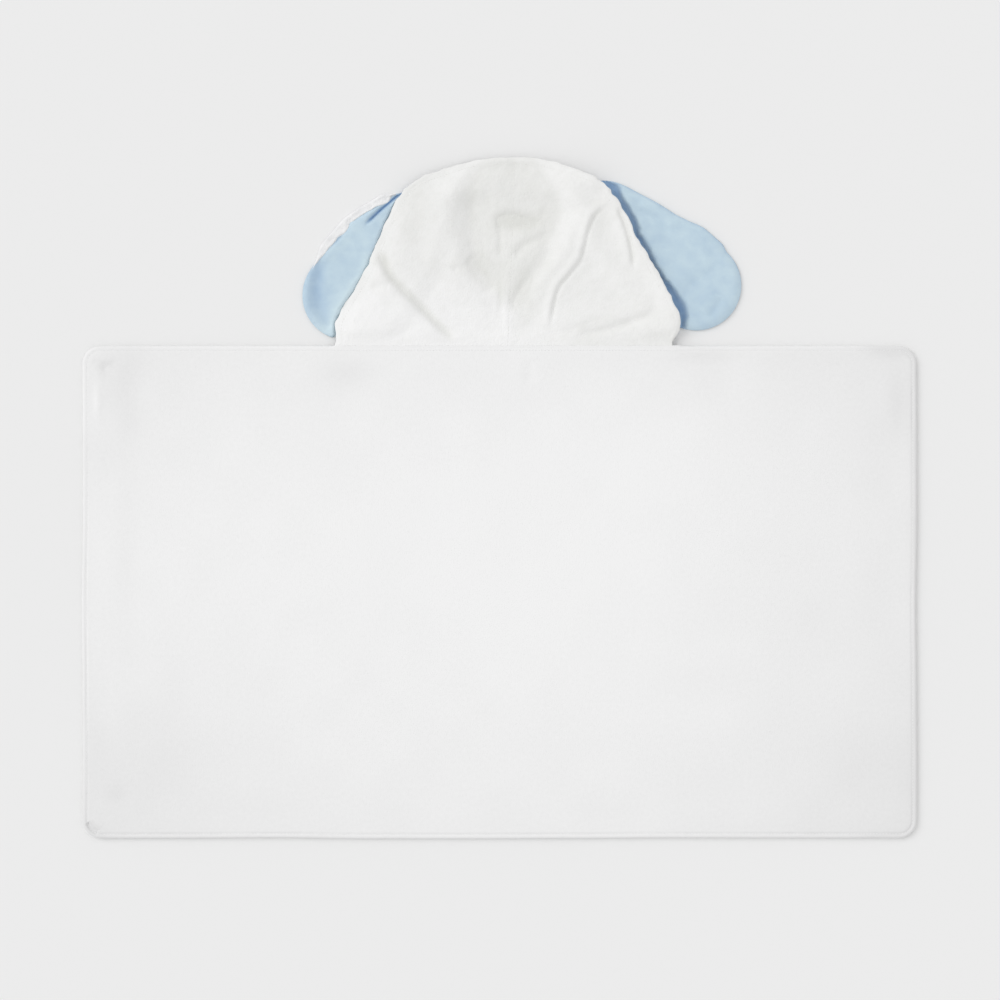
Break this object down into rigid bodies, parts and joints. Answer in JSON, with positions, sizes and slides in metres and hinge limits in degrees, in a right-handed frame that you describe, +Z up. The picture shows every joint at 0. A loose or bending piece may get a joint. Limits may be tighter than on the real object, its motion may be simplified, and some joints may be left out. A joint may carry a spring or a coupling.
{
  "type": "hooded baby towel",
  "caption": "Rectangular hooded baby towel lying flat, inside up, with a seamed hood at the middle of one long edge that folds over, and drooping blue-faced ears that swing on their tacks.",
  "frame": {"origin": "on the surface that the towel lies on, under the middle of the whole outline", "axes": "+X along the towel's width to the right, +Y from the body towards the hood, +Z up from the surface, out of the inside face"},
  "size_m": [0.914, 0.746, 0.0104],
  "materials": {
    "white_terry": "looped terry pile, matt",
    "white_knit": "short smooth pile, matt",
    "blue_cotton": "fine woven cotton, matt",
    "white_thread": "sewing thread",
    "label_satin": "satin ribbon, blank"
  },
  "bodies": {
    "towel": {"body_back_panel": "white_terry", "body_face_panel": "white_knit", "body_edge_stitching": "white_thread", "neck_seam": "white_thread", "care_label": "label_satin"},
    "hood": {"hood_shell_left": "white_terry", "hood_shell_right": "white_terry", "hood_lining_left": "white_terry", "hood_lining_right": "white_terry", "hood_centre_stitching": "white_thread", "hood_rim_stitching": "white_thread", "ear_left_tack": "white_thread", "ear_right_tack": "white_thread"},
    "ear_left": {"ear_left_back": "white_terry", "ear_left_lining": "blue_cotton", "ear_left_seam": "white_thread"},
    "ear_right": {"ear_right_back": "white_terry", "ear_right_lining": "blue_cotton", "ear_right_seam": "white_thread"}
  },
  "joints": [
    {"name": "hood_fold", "type": "hinge", "parent": "towel", "child": "hood", "pos_m": [0.009, 0.167, 0.006], "axis": [1, 0, 0], "range_deg": [0, 160]},
    {"name": "ear_left_swing", "type": "hinge", "parent": "hood", "child": "ear_left", "pos_m": [-0.08158, 0.3426, 0], "axis": [0, 0, -1], "range_deg": [0, 90]},
    {"name": "ear_right_swing", "type": "hinge", "parent": "hood", "child": "ear_right", "pos_m": [0.1098, 0.33577, 0], "axis": [0, 0, 1], "range_deg": [0, 90]}
  ]
}
